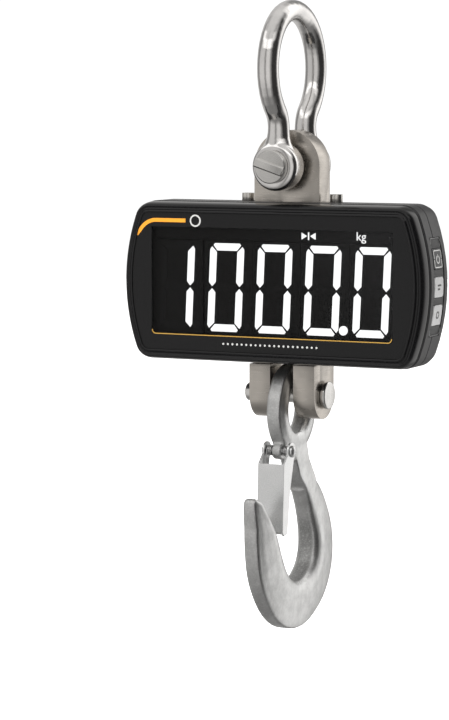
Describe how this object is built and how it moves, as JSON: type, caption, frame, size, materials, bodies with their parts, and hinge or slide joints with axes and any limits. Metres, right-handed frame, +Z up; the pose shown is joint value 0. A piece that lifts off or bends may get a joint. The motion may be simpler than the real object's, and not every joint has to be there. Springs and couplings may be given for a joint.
{
  "type": "crane scale",
  "caption": "Hanging crane scale: bow shackle on a load cell, wide lit digital display housing with side keys, and a latched safety hook.",
  "frame": {"origin": "inside of the shackle's crown, where the crane's hook carries the scale", "axes": "+Z up along the load line, -Y the way the display faces, +X to the display's right, towards the keys"},
  "size_m": [0.258, 0.1486, 0.4974],
  "materials": {
    "polished_steel": "mirror polished stainless steel",
    "satin_steel": "turned, satin stainless steel",
    "nickel_plated_steel": "satin nickel plate on alloy steel",
    "galvanised_steel": "galvanised forging, satin and slightly grainy",
    "zinc_steel": "bright zinc plated pressed steel",
    "gauge_foil": "foil on amber film",
    "black_rubber": "matt black rubber",
    "gloss_black": "gloss black moulded plastic",
    "satin_black": "satin black moulded plastic",
    "window": "clear hard-coated sheet, smoked and back printed",
    "mask_black": "matt black",
    "circuit_board": "green solder mask",
    "ribbon_grey": "grey flat cable",
    "battery_blue": "blue shrink sleeve",
    "panel_grey": "dark grey panel with a fine texture",
    "key_dark": "dark key with a pale printed border",
    "key_grey": "light grey key",
    "plate_silver": "blank anodised plate",
    "lit_white": "white light diffuser, lit"
  },
  "bodies": {
    "shackle": {"shackle_bow": "polished_steel", "shackle_pin": "satin_steel"},
    "hook": {"hook": "galvanised_steel", "latch_rivet": "zinc_steel"},
    "latch": {"latch": "zinc_steel", "latch_spring": "zinc_steel"},
    "power_button": {"key_power": "key_dark"},
    "hold_button": {"key_hold": "key_grey"},
    "zero_button": {"key_zero": "key_grey"},
    "scale": {"load_cell": "nickel_plated_steel", "strain_gauges": "gauge_foil", "gauge_covers": "satin_steel", "cell_cable": "black_rubber", "hook_pin": "satin_steel", "pin_set_screw": "mask_black", "front_bezel": "gloss_black", "front_housing": "satin_black", "rear_housing": "satin_black", "housing_gasket": "black_rubber", "display_window": "window", "display_mask": "mask_black", "digit_modules": "mask_black", "lit_segments": "lit_white", "unlit_segments": "mask_black", "legend_lights": "lit_white", "display_board": "circuit_board", "display_cable": "ribbon_grey", "ir_receiver": "mask_black", "main_board": "circuit_board", "board_screws": "satin_steel", "battery_pack": "battery_blue", "battery_door": "satin_black", "battery_door_screws": "satin_steel", "cover_screws": "satin_steel", "mounting_brackets": "satin_steel", "bracket_screws": "satin_steel", "mounting_screws": "satin_steel", "keypad_panel": "panel_grey", "key_board": "circuit_board", "tact_switches": "mask_black", "top_seal": "black_rubber", "bottom_seal": "black_rubber", "charge_socket": "mask_black", "rating_plate": "plate_silver"}
  },
  "joints": [
    {"name": "shackle_swing", "type": "hinge", "parent": "shackle", "child": "scale", "pos_m": [0, 0, -0.1125], "axis": [0, 1, 0], "range_deg": [-80, 80]},
    {"name": "hook_swing", "type": "hinge", "parent": "scale", "child": "hook", "pos_m": [0, 0, -0.2925], "axis": [1, 0, 0], "range_deg": [-36, 36]},
    {"name": "latch_open", "type": "hinge", "parent": "hook", "child": "latch", "pos_m": [0, -0.0235, -0.33545], "axis": [1, 0, 0], "range_deg": [0, 32], "stiffness_Nm_per_rad": 0.12, "springref_deg": -20.05, "deforming": ["latch_spring"]},
    {"name": "power_press", "type": "slide", "parent": "scale", "child": "power_button", "axis": [-1, 0, 0], "range_m": [0, 0.001], "stiffness_N_per_m": 700, "springref_m": -0.0004},
    {"name": "hold_press", "type": "slide", "parent": "scale", "child": "hold_button", "axis": [-1, 0, 0], "range_m": [0, 0.001], "stiffness_N_per_m": 700, "springref_m": -0.0004},
    {"name": "zero_press", "type": "slide", "parent": "scale", "child": "zero_button", "axis": [-1, 0, 0], "range_m": [0, 0.001], "stiffness_N_per_m": 700, "springref_m": -0.0004}
  ]
}
